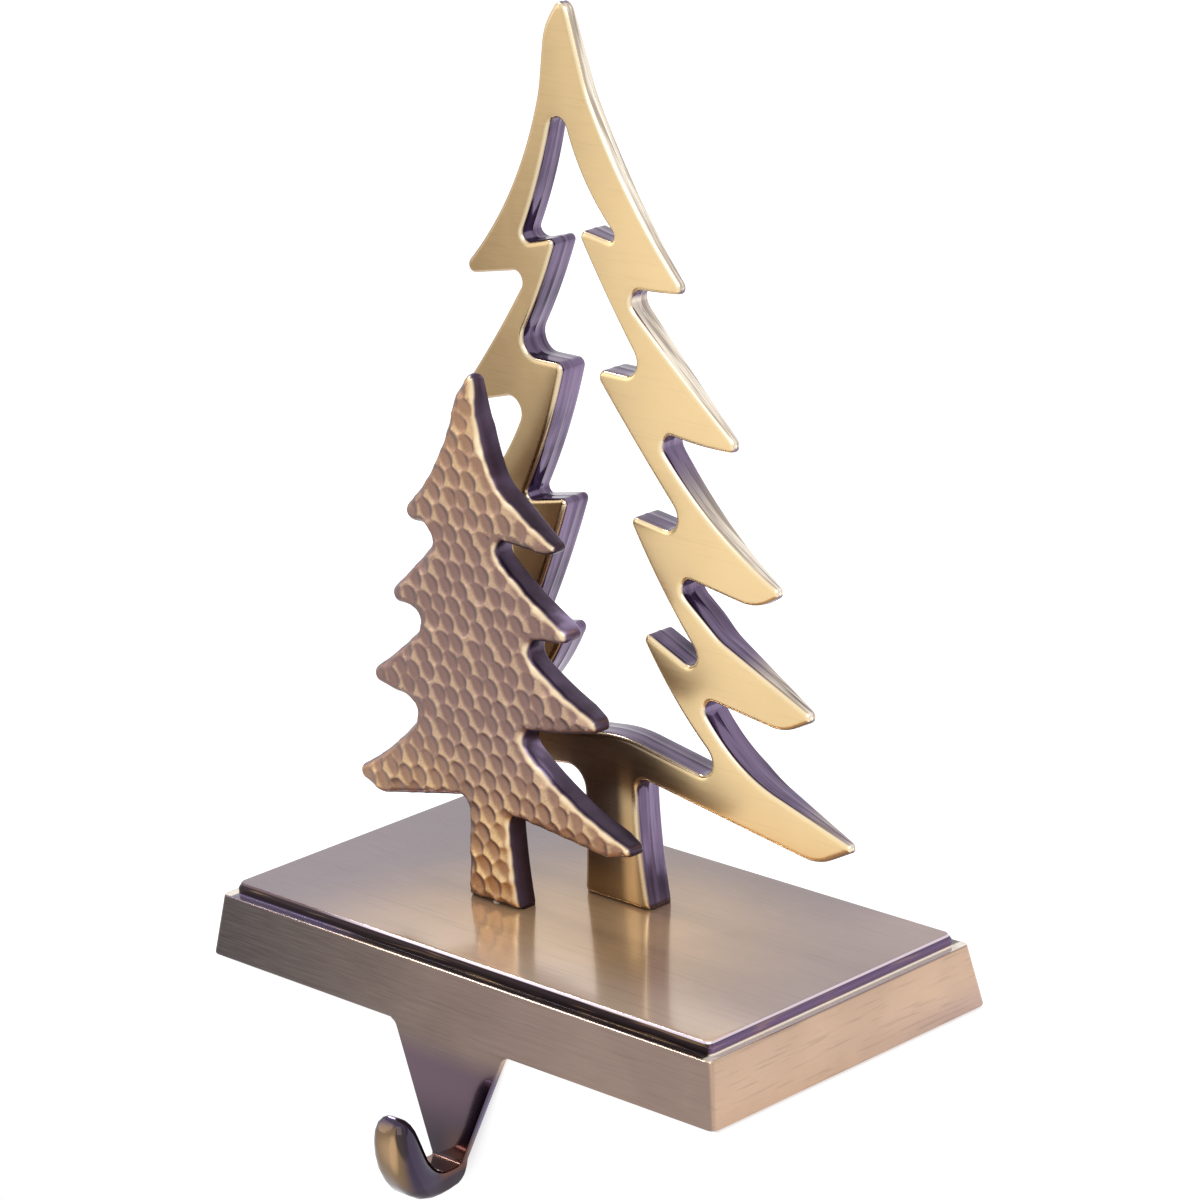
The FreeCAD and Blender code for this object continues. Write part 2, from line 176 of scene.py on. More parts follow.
def makePatina():
    # Soft uneven darkening, as in an antique plating that was rubbed back.
    group, given, result = newGroup(
        "patina",
        [("Place", "NodeSocketVector", None), ("Size", "NodeSocketFloat", 40.0),
         ("Low", "NodeSocketFloat", 0.4), ("High", "NodeSocketFloat", 0.65)],
        [("Mask", "NodeSocketFloat")],
    )
    cloud = addNode(group, "ShaderNodeTexNoise", {
        "Vector": given["Place"], "Scale": given["Size"],
        "Detail": 3.0, "Roughness": 0.55, "Distortion": 0.4})
    group.links.new(rangeOf(cloud.outputs[0], given["Low"], given["High"]), result["Mask"])
    return group


brushLines = makeBrushLines()
patina = makePatina()


def emptyTree(owner):
    owner.use_nodes = True
    owner.node_tree.nodes.clear()
    return owner.node_tree


def newMaterial(name):
    material = bpy.data.materials.new(name)
    tree = emptyTree(material)
    shader = tree.nodes.new("ShaderNodeBsdfPrincipled")
    addNode(tree, "ShaderNodeOutputMaterial", {0: shader.outputs[0]})
    place = tree.nodes.new("ShaderNodeTexCoord").outputs["Object"]
    return material, tree, shader, place


def bumpInto(shader, height, strength, distance):
    inputs = {"Height": height, "Strength": strength, "Distance": distance}
    feed(shader, {"Normal": addNode(treeOf(height), "ShaderNodeBump", inputs).outputs[0]})


# Metals

def shade(red, green, blue):
    # A colour as a screen shows it, 0 to 255, turned into the linear one that shaders take.
    linear = []
    for value in (red / 255, green / 255, blue / 255):
        linear.append(value / 12.92 if value <= 0.04045 else ((value + 0.055) / 1.055) ** 2.4)
    return (*linear, 1)


brass = {
    "bright": shade(246, 214, 158),
    "gold": shade(150, 120, 80),
    "deep": shade(84, 66, 58),
    "rim": shade(252, 234, 198),
    "shadow": shade(116, 90, 62),
    "wall": shade(110, 92, 120),
    "wallDark": shade(46, 36, 54),
    "wallShine": shade(172, 154, 190),
    "wallLit": shade(252, 240, 222),
    "back": shade(122, 98, 76),
    "lacquer": 0.2,
    # where each tone starts and where it is full, in millimetres
    # glow: painted light, the front brighter towards the right
    "glow": (-34, 32),
    "archMiddle": (3, 8, panelZ + 26),
    "archShade": (25, 8),
    "trunkTop": (panelZ + 30, panelZ + 20),
    "trunkMiddle": 2.3,
    "trunkSide": (10.5, 8.5),
    "highlightLeft": (4, 6.5),
    "highlightRight": (9.5, 7.5),
    # the outside right, where the sides get painted light: distances from a line that leans in by 0.45 for
    # each millimetre up
    "lean": 0.45,
    "outside": ((panelZ + 170) * 0.45 - 17, (panelZ + 170) * 0.45 - 8),
    # how far a face turns right and up
    "upShare": 0.5,
    "away": (-0.12, -0.55),
    "lit": (0.1, 0.6),
    "wallTurn": (0.6, 1.0),
    "backTurn": (0.4, 0.85),
    "frontFrom": (0.02, 0.3),
}


def makeTreeBrass():
    # The tall tree: a brushed gold front, brighter to the right by painted light and nearly black in the
    # arch over the trunk by painted shade, with dark polished sides and pale ones on the outside right by
    # painted light.
    material, tree, shader, place = newMaterial("brushed_antique_brass")
    axes = partsOf(place)

    def along(axis, reach):
        return fade(axes[axis], brass[reach])

    facing = partsOf(tree.nodes.new("ShaderNodeNewGeometry").outputs["Normal"])
    front = addNode(tree, "ShaderNodeAttribute", {}, attribute_name="frontShare").outputs["Fac"]
    strokes = useGroup(tree, brushLines, {"Place": place, "Stretch": (0.03, 1, 1), "Fineness": 4200.0})
    clouds = useGroup(tree, patina, {"Place": place, "Size": 45.0, "Low": 0.28, "High": 0.74})["Mask"]
    towards = calc("MULTIPLY_ADD", facing[2], brass["upShare"], facing[0])

    # front
    # painted light: the front turns from gold to bright towards the right
    glow = calc("SUBTRACT", along(0, "glow"), times(clouds, 0.12), clamp=True)
    gold = blendColor(glow, brass["gold"], brass["bright"])
    # painted shade: nearly black in the arch over the trunk
    archShade = fade(measure("DISTANCE", place, metres(brass["archMiddle"])), brass["archShade"])
    trunk = along(2, "trunkTop")
    aside = calc("ABSOLUTE", calc("SUBTRACT", axes[0], brass["trunkMiddle"] * mm))
    trunkHighlight = times(along(0, "highlightLeft"), along(0, "highlightRight"))
    # painted shade on faces that turn left and down, the lower trunk darker, a painted highlight down the
    # right part of the trunk and painted highlights on edges that turn right and up; the scratches and brush
    # lines are the metal's own
    gold = layers(
        gold,
        (brass["deep"], archShade, 0.9),
        (brass["deep"], strokes["Scratches"], 0.05),
        (brass["rim"], strokes["Lines"], 0.16),
        (brass["shadow"], rangeOf(towards, *brass["away"]), 0.6),
        (brass["deep"], times(trunk, fade(aside, brass["trunkSide"])), 0.55),
        (brass["bright"], times(trunkHighlight, trunk), 0.7),
        (brass["rim"], rangeOf(towards, *brass["lit"]), 0.7))

    # sides and back
    # painted sheen: lavender streaks along the sides; painted light on the outside right, laid in pale
    # streaks over painted shade
    streaks = useGroup(tree, brushLines, {"Place": place, "Stretch": (0.05, 1, 0.05), "Fineness": 1100.0})
    streaks = rangeOf(streaks["Lines"], 0.38, 0.6)
    outside = fade(calc("MULTIPLY_ADD", axes[2], brass["lean"], axes[0]), brass["outside"])
    outside = times(outside, rangeOf(towards, *brass["wallTurn"]))
    sides = blendColor(clouds, brass["wall"], brass["wallDark"])
    sides = layers(sides, (brass["wallShine"], streaks, 0.2), (brass["shadow"], outside, 0.8))
    lightest = times(outside, calc("MULTIPLY_ADD", streaks, 0.6, 0.38))
    sides = blendColor(lightest, sides, brass["wallLit"])
    rear = layers(brass["back"], (brass["deep"], clouds, 0.4))
    sides = blendColor(rangeOf(facing[1], *brass["backTurn"]), sides, rear)
    color = blendColor(rangeOf(front, *brass["frontFrom"]), sides, gold)
    rough = mixOf(front, 0.15, calc("MULTIPLY_ADD", strokes["Lines"], 0.18, 0.22))
    feed(shader, {"Base Color": color, "Roughness": rough, "Metallic": 1,
                  "Coat Weight": brass["lacquer"], "Coat Roughness": 0.08})
    bumpInto(shader, times(strokes["Lines"], front), 0.12, 0.00005)
    return material


bronze = {
    "ridge": shade(204, 172, 143),
    "dish": shade(142, 112, 102),
    "warmDish": shade(196, 150, 100),
    "gold": shade(246, 206, 140),
    "rim": shade(252, 230, 194),
    "shadow": shade(88, 66, 60),
    "edge": shade(108, 90, 116),
    "edgeDark": shade(58, 44, 58),
    "edgeLit": shade(178, 160, 196),
    "back": shade(118, 92, 80),
    "lacquer": 0.15,
    # heights between which it turns warm, at the foot and at the crown
    "foot": (panelZ + 36, panelZ + 2),
    "crown": (panelZ + 60, panelZ + 100),
    # how near to the ridge between two dishes it is worn
    "worn": (0.8, 0.96),
    # how far a face turns right and up
    "upShare": 0.6,
    "lit": (0.06, 0.32),
    "away": (-0.05, -0.3),
    "rimTurn": (0.2, 0.6),
    "rimShare": (0.995, 0.75),
    "wallTurn": (0.15, 0.7),
    "backTurn": (0.4, 0.85),
    "frontFrom": (0.12, 0.42),
}


def makeHammeredBronze():
    # The small tree: mauve-brown dishes with painted highlights where their slopes turn right and up and
    # painted shade where they turn away, more golden towards the foot and the crown.
    material, tree, shader, place = newMaterial("hammered_bronze")
    axes = partsOf(place)
    front = addNode(tree, "ShaderNodeAttribute", {}, attribute_name="frontShare").outputs["Fac"]
    ridge = addNode(tree, "ShaderNodeAttribute", {}, attribute_name="ridge").outputs["Fac"]
    facing = partsOf(tree.nodes.new("ShaderNodeNewGeometry").outputs["Normal"])
    clouds = useGroup(tree, patina, {"Place": place, "Size": 60.0, "Low": 0.34, "High": 0.7})["Mask"]
    grain = addNode(tree, "ShaderNodeTexNoise", {"Vector": place, "Scale": 2200.0, "Detail": 3.0})
    grain = grain.outputs[0]
    towards = calc("MULTIPLY_ADD", facing[2], bronze["upShare"], facing[0])

    # front
    low = fade(axes[2], bronze["foot"])
    high = times(fade(axes[2], bronze["crown"]), 0.5)
    warm = times(low, calc("MULTIPLY_ADD", clouds, 0.4, 0.6))
    warm = calc("MAXIMUM", warm, high)
    dish = blendColor(warm, bronze["dish"], bronze["warmDish"])
    top = blendColor(warm, bronze["ridge"], bronze["gold"])
    worn = times(rangeOf(ridge, *bronze["worn"]), calc("MULTIPLY_ADD", clouds, 0.3, 0.4))
    body = blendColor(worn, dish, top)
    # painted highlights on slopes and rounded edges that turn right and up, painted shade on slopes that
    # turn away; the grain is the metal's own
    lit = times(rangeOf(towards, *bronze["rimTurn"]), rangeOf(front, *bronze["rimShare"]))
    body = layers(
        body,
        (top, rangeOf(towards, *bronze["lit"]), 0.9),
        (bronze["shadow"], rangeOf(towards, *bronze["away"]), 0.8),
        (bronze["edge"], rangeOf(grain, 0.4, 0.7), 0.2),
        (bronze["rim"], lit, 0.75))

    # sides and back
    wall = blendColor(clouds, bronze["edge"], bronze["edgeDark"])
    # painted sheen on sides that face up; the sides darker towards the foot
    shine = times(rangeOf(clouds, 0.35, 0.0), rangeOf(facing[2], *bronze["wallTurn"]))
    wall = layers(wall, (bronze["edgeLit"], shine, 0.7), (bronze["edgeDark"], low, 0.8))
    rear = layers(bronze["back"], (bronze["shadow"], clouds, 0.4))
    wall = blendColor(rangeOf(facing[1], *bronze["backTurn"]), wall, rear)
    color = blendColor(rangeOf(front, *bronze["frontFrom"]), wall, body)
    rough = calc("MULTIPLY_ADD", grain, 0.2, 0.27)
    feed(shader, {"Base Color": color, "Roughness": rough, "Metallic": 1,
                  "Coat Weight": bronze["lacquer"], "Coat Roughness": 0.2})
    bumpInto(shader, grain, 0.15, 0.00006)
    return material


plating = {
    "mauve": shade(114, 92, 104),
    "tan": shade(204, 165, 121),
    "pink": shade(156, 128, 124),
    "paleSheen": shade(226, 198, 174),
    "frontDark": shade(46, 35, 41),
    "frontLight": shade(148, 124, 114),
    "side": shade(192, 160, 136),
    "sideDark": shade(172, 144, 132),
    # dark for scratches and patina, and for painted shade in the step and a painted dark reflection on the
    # hook's tip
    "darkMarkAndShade": shade(44, 33, 36),
    "grooveSide": shade(112, 92, 124),
    "ledge": shade(104, 92, 122),
    "bevel": shade(222, 206, 218),
    "bevelDark": shade(92, 76, 80),
    "hook": shade(98, 76, 88),
    "hookDark": shade(46, 32, 44),
    "hookRim": shade(84, 72, 104),
    "seat": shade(112, 74, 60),
    "amberReflection": shade(128, 102, 70),
    "egg": shade(56, 44, 68),
    "shine": shade(250, 238, 222),
    # where each tone starts and where it is full, in millimetres
    "warmMiddle": (8, -14, panelZ),
    "warm": (58, 12),
    "rightEnd": (22, 58),
    "frontSheen": (-12, -31),
    "frontEdgeLeft": (-55, 20),
    "frontSpan": (-70, 48),
    "sideFoot": (8, 1),
    "sideBack": (-10, 34),
    # the step between skirt and panel
    "stepX": 62.9,
    "stepY": 33.4,
    "stepEdge": (0, 0.3),
    "stepTop": (14.3, 14.15),
    "stepFoot": (11.8, 12.1),
    "ledgeTop": (12.7, 12.4),
    "ledgeLeft": (-24, -36),
    "ledgeEnd": (2.4, 1.7),
    "bevelFoot": (14.15, 14.3),
    "bevelTurn": (0.97, 0.9),
    "bevelLeft": (-42, -16),
    # the hook
    "hookTop": (0.5, -6),
    "shank": (-8, -21),
    "rimTurn": (0.35, 0.9),
    "rimFoot": (-21, -15),
    "copperTop": (-14, -20),
    "copperLeft": (-3, 4),
    "copperFoot": (-23.6, -22.4),
    "seatTop": (-20.6, -21.4),
    "seatTurn": (0.3, 0.8),
    "tipBack": (-41.8, -44.4),
    "tipFoot": (-26, -22),
    "amberReflectionTowards": (0.28, -0.96, 0.06),
    "darkReflectionTowards": (0.74, -0.56, 0.37),
}


def makeBaseBrass():
    # The slab: brushed lengthwise on every face, with painted shade that makes the front dark at its left
    # and painted light that makes the ends pale, painted shade in the groove under a bevel with a painted
    # highlight, and a smooth dark hook.
    material, tree, shader, place = newMaterial("brushed_base_brass")
    axes = partsOf(place)

    def along(axis, reach):
        return fade(axes[axis], plating[reach])

    normal = tree.nodes.new("ShaderNodeNewGeometry").outputs["Normal"]
    facing = partsOf(normal)
    sideways = rangeOf(calc("ABSOLUTE", facing[0]), 0.5, 0.8)
    lengthwise = useGroup(tree, brushLines, {"Place": place, "Stretch": (0.03, 1, 1), "Fineness": 4200.0})
    crosswise = useGroup(tree, brushLines, {"Place": place, "Stretch": (1, 0.05, 1), "Fineness": 4200.0})
    lines = mixOf(sideways, lengthwise["Lines"], crosswise["Lines"])
    marks = mixOf(sideways, lengthwise["Scratches"], crosswise["Scratches"])
    clouds = useGroup(tree, patina, {"Place": place, "Size": 30.0, "Low": 0.35, "High": 0.7})["Mask"]

    # top and skirts
    warm = fade(measure("DISTANCE", place, metres(plating["warmMiddle"])), plating["warm"])
    top = blendColor(along(0, "rightEnd"), plating["mauve"], plating["pink"])
    top = blendColor(warm, top, plating["tan"])
    # painted sheen along the top's front edge
    frontSheen = times(along(1, "frontSheen"), along(0, "frontEdgeLeft"))
    top = blendColor(frontSheen, top, plating["paleSheen"])
    # painted shade on the front skirt, darkest at its left, and painted light that makes the ends pale; the
    # ends darker low at the back
    front = blendColor(along(0, "frontSpan"), plating["frontDark"], plating["frontLight"])
    end = times(along(2, "sideFoot"), along(1, "sideBack"))
    end = blendColor(end, plating["side"], plating["sideDark"])
    skirt = blendColor(sideways, front, end)
    color = blendColor(rangeOf(facing[2], 0.6, 0.9), skirt, top)
    marked = times(marks, calc("MULTIPLY_ADD", sideways, 0.06, 0.12))
    color = blendColor(marked, color, plating["darkMarkAndShade"])
    color = layers(color, (plating["shine"], lines, 0.13), (plating["darkMarkAndShade"], clouds, 0.14))

    # ledge, groove and bevel: painted shade in the step, a painted reflection on the ledge's left and
    # painted light at the ends
    toEnd = calc("SUBTRACT", plating["stepX"] * mm, calc("ABSOLUTE", axes[0]))
    toFront = calc("SUBTRACT", plating["stepY"] * mm, calc("ABSOLUTE", axes[1]))
    inside = fade(calc("MINIMUM", toEnd, toFront), plating["stepEdge"])
    trough = times(times(inside, along(2, "stepTop")), along(2, "stepFoot"))
    onLedge = along(2, "ledgeTop")
    leftShare = times(along(0, "ledgeLeft"), onLedge)
    dark = blendColor(leftShare, plating["darkMarkAndShade"], plating["ledge"])
    endTone = blendColor(onLedge, plating["grooveSide"], plating["shine"])
    dark = blendColor(fade(toEnd, plating["ledgeEnd"]), dark, endTone)
    dark = layers(dark, (plating["tan"], marks, 0.2))
    color = blendColor(trough, color, dark)
    # painted highlight on the bevel, dimmer at the left
    bevel = times(along(2, "bevelFoot"), rangeOf(facing[2], *plating["bevelTurn"]))
    litBevel = blendColor(along(0, "bevelLeft"), plating["bevelDark"], plating["bevel"])
    color = blendColor(bevel, color, litBevel)

    # hook: mauve shank with a painted lavender reflection on its edge, coppery seat, and a painted amber
    # reflection on the tip
    hookMask = along(2, "hookTop")
    hookColor = blendColor(along(2, "shank"), plating["hook"], plating["hookDark"])
    # painted reflection: lavender on the side of the hook that faces right
    rightEdge = times(rangeOf(facing[0], *plating["rimTurn"]), along(2, "rimFoot"))
    hookColor = blendColor(rightEdge, hookColor, plating["hookRim"])
    copper = times(times(along(2, "copperTop"), along(0, "copperLeft")), along(2, "copperFoot"))
    hookColor = layers(hookColor, (plating["seat"], copper, 0.6))
    seat = times(along(2, "seatTop"), rangeOf(facing[2], *plating["seatTurn"]))
    hookColor = blendColor(seat, hookColor, plating["seat"])
    tip = times(along(1, "tipBack"), along(2, "tipFoot"))
    # painted reflections on the tip: amber where it faces the front, a painted highlight in the middle of
    # that, and a dark patch on the side that faces right
    glow = measure("DOT_PRODUCT", normal, plating["amberReflectionTowards"])
    spot = measure("DOT_PRODUCT", normal, plating["darkReflectionTowards"])
    tipColor = layers(
        blendColor(rangeOf(glow, 0.64, 0.98), plating["egg"], plating["amberReflection"]),
        (plating["tan"], rangeOf(glow, 0.93, 1.0), 0.75),
        (plating["darkMarkAndShade"], rangeOf(spot, 0.9, 0.94), 0.85))
    hookColor = blendColor(tip, hookColor, tipColor)
    color = blendColor(hookMask, color, hookColor)

    # gloss: a lacquered top that is part metal, plain brushed skirts and a smooth hook
    topFace = rangeOf(facing[2], 0.8, 0.98)
    rough = calc("MULTIPLY_ADD", lines, 0.16, 0.24)
    rough = mixOf(topFace, rough, calc("MULTIPLY_ADD", lines, 0.1, 0.1))
    rough = mixOf(hookMask, rough, 0.14)
    metal = mixOf(times(topFace, inside), 1.0, 0.35)
    lacquer = mixOf(hookMask, mixOf(topFace, 0.05, 0.4), 0.55)
    feed(shader, {"Base Color": color, "Roughness": rough, "Metallic": metal,
                  "Coat Weight": lacquer, "Coat Roughness": 0.05})
    bumpInto(shader, lines, 0.08, 0.00004)
    return material


def makeScrewSteel():
    material, tree, shader, place = newMaterial("screw_steel")
    grain = addNode(tree, "ShaderNodeTexNoise", {"Vector": place, "Scale": 900.0, "Detail": 4.0})
    color = blendColor(grain.outputs[0], (0.42, 0.42, 0.43, 1), (0.6, 0.6, 0.61, 1))
    rough = calc("MULTIPLY_ADD", grain.outputs[0], 0.2, 0.25)
    feed(shader, {"Base Color": color, "Roughness": rough, "Metallic": 1})
    bumpInto(shader, grain.outputs[0], 0.1, 0.0001)
    return material


def makeFoamRubber():
    material, tree, shader, place = newMaterial("foam_rubber")
    cells = addNode(tree, "ShaderNodeTexVoronoi", {"Vector": place, "Scale": 1600.0})
    color = blendColor(cells.outputs["Distance"], (0.035, 0.033, 0.032, 1), (0.09, 0.086, 0.082, 1))
    feed(shader, {"Base Color": color, "Roughness": 0.85})
    bumpInto(shader, cells.outputs["Distance"], 0.5, 0.0003)
    return material


treeBrass = makeTreeBrass()
hammeredBronze = makeHammeredBronze()
baseBrass = makeBaseBrass()
print("materials made")


# Outlines of the trees

def bowedSide(start, end, bow):
    # A straight side, or an arc that bows towards the figure's middle.
    start, end = np.array(start, float), np.array(end, float)
    length = np.linalg.norm(end - start)
    along = (end - start) / length
    inward = np.array([along[1], -along[0]])
    halfAngle = 2 * math.atan(2 * bow / length)

    def at(share):
        if halfAngle == 0:
            return start + along * length * share, along
        angle = (2 * share - 1) * halfAngle
        radius = length / 2 / math.sin(halfAngle)
        forward = length / 2 + radius * math.sin(angle)
        aside = radius * (math.cos(angle) - math.cos(halfAngle))
        direction = along * math.cos(angle) - inward * math.sin(angle)
        return start + along * forward + inward * aside, direction

    curved = length if halfAngle == 0 else length * halfAngle / math.sin(halfAngle)
    return at, curved


def turnBetween(first, second):
    return math.acos(min(1, max(-1, first @ second)))


def outlineLoop(corners, sideStep):
    # Points around a closed outline. A corner is x, height, radius and the bow of the side
    # after it.
    count = len(corners)
    sides = []
    for i in range(count):
        sides.append(bowedSide(corners[i][:2], corners[(i + 1) % count][:2], corners[i][3]))
    trims = []
    for i in range(count):
        (before, lengthBefore), (after, lengthAfter) = sides[i - 1], sides[i]
        turn = turnBetween(before(1)[1], after(0)[1])
        wanted = corners[i][2] * math.tan(turn / 2)
        trims.append(min(wanted, 0.45 * lengthBefore, 0.45 * lengthAfter))
    points = []
    for i in range(count):
        (before, lengthBefore), (after, lengthAfter) = sides[i - 1], sides[i]
        low = trims[i] / lengthAfter
        high = 1 - trims[(i + 1) % count] / lengthAfter
        if trims[i] > 0:
            first, leave = before(1 - trims[i] / lengthBefore)
            last, join = after(low)
            turn = turnBetween(leave, join)
            radius = np.linalg.norm(last - first) / (2 * math.sin(turn / 2))
            reach = 4 / 3 * math.tan(turn / 4) * radius
            poles = [first, first + leave * reach, last - join * reach, last]
            for share in np.arange(filling["cornerSteps"]) / filling["cornerSteps"]:
                rest = 1 - share
                points.append(rest ** 3 * poles[0] + 3 * rest ** 2 * share * poles[1]
                              + 3 * rest * share ** 2 * poles[2] + share ** 3 * poles[3])
        steps = max(1, round((high - low) * lengthAfter / sideStep))
        for step in range(steps):
            points.append(after(low + (high - low) * step / steps)[0])
    return np.array(points)


def distanceTo(points, loops):
    # How far each point lies from the nearest outline.
    nearest = np.full(len(points), 1e9)
    for loop in loops:
        starts, ends = loop, np.roll(loop, -1, 0)
        for start, end in zip(starts, ends):
            along = end - start
            share = np.clip((points - start) @ along / (along @ along), 0, 1)
            gap = points - start - share[:, None] * along
            nearest = np.minimum(nearest, np.hypot(gap[:, 0], gap[:, 1]))
    return nearest


def insideOf(points, loops):
    # Even-odd test against all outlines at once, so that an opening is outside.
    inside = np.zeros(len(points), bool)
    for loop in loops:
        for (x0, z0), (x1, z1) in zip(loop, np.roll(loop, -1, 0)):
            crosses = (z0 > points[:, 1]) != (z1 > points[:, 1])
            rise = (z1 - z0) if z1 != z0 else 1e-9
            inside ^= crosses & (points[:, 0] < x0 + (points[:, 1] - z0) * (x1 - x0) / rise)
    return inside


def loopNormals(loop, towardsMetal):
    # For each point of an outline, the direction into the metal.
    along = np.roll(loop, -1, 0) - loop
    along /= np.linalg.norm(along, axis=1)[:, None]
    aside = np.stack([along[:, 1], -along[:, 0]], 1) * towardsMetal
    mean = aside + np.roll(aside, 1, 0)
    return mean / np.linalg.norm(mean, axis=1)[:, None]


filling = {
    "cornerSteps": 8,
    "backStep": 1.6,
    # where the rings that round the edge lie on their quarter circle, in degrees
    "angles": (15, 30, 45, 60, 75, 90, 100),
    "ringSlack": 0.97,
    "ringReach": 1.17,
    "gridGap": 0.5,
    "rowShare": 0.866,    # the height of a triangle with equal sides
}


def fillFace(loops, normals, rounding, step):
    # Points and triangles that fill the face: the outlines, rings for the rounded edge and
    # a staggered grid inside. Returns also each point's distance from the edge.
    points = [np.concatenate(loops)]
    for angle in filling["angles"]:
        depth = rounding * (1 - math.cos(math.radians(angle)))
        ring = np.concatenate([loop + normal * depth for loop, normal in zip(loops, normals)])
        keep = distanceTo(ring, loops) > depth * filling["ringSlack"]
        points.append(ring[keep])
    low, high = points[0].min(0), points[0].max(0)
    rowShare = filling["rowShare"]
    rows = int((high[1] - low[1]) / (step * rowShare)) + 1
    places = int((high[0] - low[0]) / step) + 1
    row, place = np.meshgrid(np.arange(rows), np.arange(places), indexing="ij")
    across = low[0] + (place + row % 2 / 2) * step
    grid = np.stack([across, low[1] + row * step * rowShare], 2).reshape(-1, 2)
    grid = grid[insideOf(grid, loops)]
    grid = grid[distanceTo(grid, loops) > rounding * filling["ringReach"] + step * filling["gridGap"]]
    points.append(grid)
    points = np.concatenate(points)
    edges, start = [], 0
    for loop in loops:
        count = len(loop)
        edges += [(start + i, start + (i + 1) % count) for i in range(count)]
        start += count
    vectors = [Vector(point) for point in points]
    found = delaunay_2d_cdt(vectors, edges, [], 0, 1e-7)
    places = np.array([tuple(vector) for vector in found[0]])
    triangles = np.array([face for face in found[2]])
    middles = places[triangles].mean(1)
    triangles = triangles[insideOf(middles, loops)]
    assert len(places) == len(points), "an outline crosses itself"
    return places, triangles, distanceTo(places, loops)


def roundOff(distance, rounding):
    # How far a rounded edge lies behind the face.
    inward = np.clip(rounding - distance, 0, rounding)
    return rounding - np.sqrt(rounding ** 2 - inward ** 2)


def addObject(name, data):
    made = bpy.data.objects.new(name, data)
    bpy.context.scene.collection.objects.link(made)
    return made


def buildPlate(name, plate, thicknessAt):
    # A flat casting with rounded edges, side walls with a mould line, and a back.
    loops = [outlineLoop(corners, plate["sideStep"]) for corners in plate["outlines"]]
    normals = [loopNormals(loop, 1 if i == 0 else -1) for i, loop in enumerate(loops)]
    vertices, faces, shares = [], [], []
    rim = np.concatenate(loops)
    rimNormals = np.concatenate(normals)
    sheets = []
    for rounding, step, isBack in (
        (plate["frontRounding"], plate["frontStep"], False),
        (plate["backRounding"], filling["backStep"], True),
    ):
        points, triangles, distance = fillFace(loops, normals, rounding, step)
        sag = 0 if isBack else plate["sag"] * (1 - np.clip(distance / plate["sagReach"], 0, 1)) ** 2
        drop = roundOff(distance, rounding) + sag
        y = thicknessAt(points) - drop if isBack else drop
        start = len(vertices)
        sheets.append(start)
        vertices += [(x, depth, z) for (x, z), depth in zip(points, y)]
        shares += [0.0] * len(points) if isBack else list(np.clip(distance / rounding, 0, 1))
        faces += [tuple(start + corner for corner in triangle) for triangle in triangles]
    frontY = plate["frontRounding"] + plate["sag"]
    backY = thicknessAt(rim) - plate["backRounding"]
    levels = [sheets[0] + np.arange(len(rim))]
    for share, proud in plate["wallProfile"]:
        levels.append(len(vertices) + np.arange(len(rim)))
        places = rim - rimNormals * proud
        depth = frontY + (backY - frontY) * share
        vertices += [(x, y, z) for (x, z), y in zip(places, depth)]
        shares += [0.0] * len(rim)
    levels.append(sheets[1] + np.arange(len(rim)))
    start = 0
    for loop in loops:
        count = len(loop)
        for upper, lower in zip(levels, levels[1:]):
            for i in range(count):
                here, after = start + i, start + (i + 1) % count
                faces.append((upper[here], upper[after], lower[after], lower[here]))
        start += count
    moved = []
    for x, y, z in vertices:
        moved.append(((plate["footX"] + x) * mm, (plate["frontY"] + y) * mm, (panelZ + z) * mm))
    mesh = bpy.data.meshes.new(name)
    mesh.from_pydata(moved, [], [tuple(int(corner) for corner in face) for face in faces])
    attribute = mesh.attributes.new("frontShare", "FLOAT", "POINT")
    attribute.data.foreach_set("value", np.array(shares, np.float32))
    shell = bmesh.new()
    shell.from_mesh(mesh)
    bmesh.ops.recalc_face_normals(shell, faces=shell.faces)
    shell.to_mesh(mesh)
    shell.free()
    mesh.shade_smooth()
    print(name, "vertices", len(mesh.vertices), "faces", len(mesh.polygons))
    return addObject(name, mesh)


